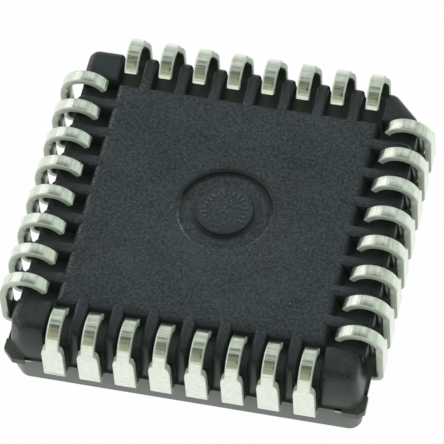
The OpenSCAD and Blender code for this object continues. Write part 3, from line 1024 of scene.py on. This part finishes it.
# Angle over the tent from the front horizon, in degrees, and the colour there
ROOF_STOPS = [
    (0, (1.0, 1.0, 0.97)), (24, (0.96, 0.95, 0.91)), (28, (0.45, 0.44, 0.34)),
    (40, (0.42, 0.41, 0.32)), (54, (0.41, 0.40, 0.30)), (61, (0.24, 0.23, 0.16)),
    (74, (0.29, 0.30, 0.24)), (84, (0.11, 0.12, 0.10)), (90, (0.12, 0.13, 0.115)),
    (94, (0.54, 0.56, 0.52)), (105, (0.50, 0.52, 0.49)), (108, (0.20, 0.24, 0.20)),
    (113, (0.20, 0.24, 0.20)), (118, (0.60, 0.64, 0.61)), (127, (0.88, 0.92, 0.90)),
    (137, (0.74, 0.79, 0.74)), (153, (0.60, 0.67, 0.61)), (167, (0.86, 0.91, 0.88)),
    (180, (0.78, 0.83, 0.78))]
# Brightness of the back wall's panels, from the far left to the far right
PANEL_STOPS = [
    (-0.45, 0.95), (-0.36, 0.76), (-0.16, 0.92), (-0.05, 0.88), (0.03, 0.74), (0.10, 0.98),
    (0.28, 1.0), (0.40, 0.72), (0.48, 0.68), (0.56, 0.95)]
LEFT_WALL = (0.94, 0.96, 0.93, 1)
RIGHT_WALL = (0.68, 0.77, 0.70, 1)
OPENING = (0.08, 0.07, 0.05, 1)
OPENING_DEGREES = (11, 8)
# How far across the tent, from 0 at the middle to 1 at the side, each wall comes in
BACK_WALL_STARTS = (0.63, 0.66)
LEFT_WALL_STARTS = (0.34, 0.62)
RIGHT_WALL_STARTS = (0.50, 0.60)


def camera_direction():
    """From the chip to the camera."""
    azimuth, elevation = math.radians(CAMERA_AZIMUTH), math.radians(CAMERA_ELEVATION)
    return Vector((math.sin(azimuth) * math.cos(elevation),
                   -math.cos(azimuth) * math.cos(elevation), math.sin(elevation)))


def light_tent():
    world = bpy.data.worlds.new("light_tent")
    bpy.context.scene.world = world
    world.use_nodes = True
    tree = world.node_tree
    tree.nodes.clear()

    def blend(factor, first, second, how="MIX"):
        settings = {"data_type": "RGBA", "blend_type": how}
        values = {"Factor": factor, "A": first, "B": second}
        return add_node(tree, "ShaderNodeMix", settings, values)

    direction = add_node(tree, "ShaderNodeTexCoord").out("Generated")
    right = add_node(tree, "ShaderNodeSeparateXYZ", {}, [direction])
    back, up = right.out("Y"), right.out("Z")
    arch = up.math("ARCTAN2", -back) / math.pi
    stops = [(angle / 180, colour) for angle, colour in ROOF_STOPS]
    tent = add_node(tree, "ShaderNodeValToRGB", {"stops": stops}, {"Fac": arch})
    stops = [((place + 1) / 2, grey) for place, grey in PANEL_STOPS]
    panels = add_node(tree, "ShaderNodeValToRGB", {"stops": stops}, {"Fac": right / 2 + 0.5})
    tent = blend(ramp_between(arch, *BACK_WALL_STARTS), tent, panels, "MULTIPLY")
    tent = blend(ramp_between(-right, *LEFT_WALL_STARTS), tent, LEFT_WALL)
    tent = blend(ramp_between(right, *RIGHT_WALL_STARTS), tent, RIGHT_WALL)
    product = {"operation": "DOT_PRODUCT"}
    facing = add_node(tree, "ShaderNodeVectorMath", product, [direction, camera_direction()])
    opening = ramp_between(facing, *(math.cos(math.radians(a)) for a in OPENING_DEGREES))
    tent = blend(opening, tent, OPENING)

    dressed = add_node(tree, "ShaderNodeBackground", {}, {"Color": tent, "Strength": 1.0})
    plain = add_node(tree, "ShaderNodeBackground", {}, {"Color": WHITE, "Strength": 1.0})
    seen = add_node(tree, "ShaderNodeLightPath").out("Is Camera Ray")
    result = add_node(tree, "ShaderNodeMixShader", {}, [seen, dressed, plain])
    output = tree.nodes.new("ShaderNodeOutputWorld")
    tree.links.new(result.socket, output.inputs[0])


light_tent()
print("tent up, stops:", len(ROOF_STOPS), "and", len(PANEL_STOPS))

# %% [markdown]
# One soft lamp stands behind on the left, where the photograph's brightest reflections come
# from. It is large and not strong, so that it draws light edges on the rounded resin and
# lays no hard shadow. A disk is chosen because its reflection in the bends has no corners.

# %% Soft lamp
LAMP_TOWARDS = (-0.70, 0.45, 0.55)
LAMP_DISTANCE = 0.16
LAMP_WIDTH = 0.10
LAMP_RADIANCE = 0.25
def soft_lamp(name, towards, distance, width, radiance):
    lamp = bpy.data.lights.new(name, "AREA")
    lamp.shape = "DISK"
    lamp.size = width
    lamp.energy = radiance * math.pi * math.pi * (width / 2) ** 2
    holder = bpy.data.objects.new(name, lamp)
    bpy.context.scene.collection.objects.link(holder)
    direction = Vector(towards).normalized()
    holder.location = direction * distance
    holder.rotation_euler = direction.to_track_quat("Z", "Y").to_euler()


soft_lamp("back_left_lamp", LAMP_TOWARDS, LAMP_DISTANCE, LAMP_WIDTH, LAMP_RADIANCE)
print("lamps:", len(bpy.data.lights))

# %% [markdown]
# The camera looks down from the front, a little from the right, and is rolled a little, as
# the one that took the photograph was. Its distance and lens give the same slight
# perspective, and were found by fitting a camera to the corners of the leads. The picture is
# square, so one scale serves both ways. The camera's three directions are set as a matrix,
# because a roll about the line of sight is hard to give as three angles.

# %% Camera
CAMERA_ROLL = -4.953
CAMERA_DISTANCE = 133.986 * MM
CAMERA_AIM = Vector((0.115, -0.180, 2.482)) * MM
SENSOR = 36
LENS_PIXELS = 3791.309
PICTURE_PIXELS = 444


def place_camera():
    azimuth = math.radians(CAMERA_AZIMUTH)
    roll = math.radians(CAMERA_ROLL)
    towards = camera_direction()
    right = Vector((math.cos(azimuth), math.sin(azimuth), 0))
    up = towards.cross(right)
    rolled_right = right * math.cos(roll) + up * math.sin(roll)
    rolled_up = up * math.cos(roll) - right * math.sin(roll)
    data = bpy.data.cameras.new("photo_camera")
    data.sensor_width = SENSOR
    data.lens = SENSOR * LENS_PIXELS / PICTURE_PIXELS
    data.clip_start = 0.01
    camera = bpy.data.objects.new("photo_camera", data)
    bpy.context.scene.collection.objects.link(camera)
    place = Matrix((rolled_right, rolled_up, towards)).transposed().to_4x4()
    place.translation = CAMERA_AIM + towards * CAMERA_DISTANCE
    camera.matrix_world = place
    bpy.context.scene.camera = camera
    print("lens", round(data.lens, 1), "mm at", round(CAMERA_DISTANCE / MM, 1), "mm")


place_camera()
bpy.context.scene.view_settings.view_transform = "Standard"
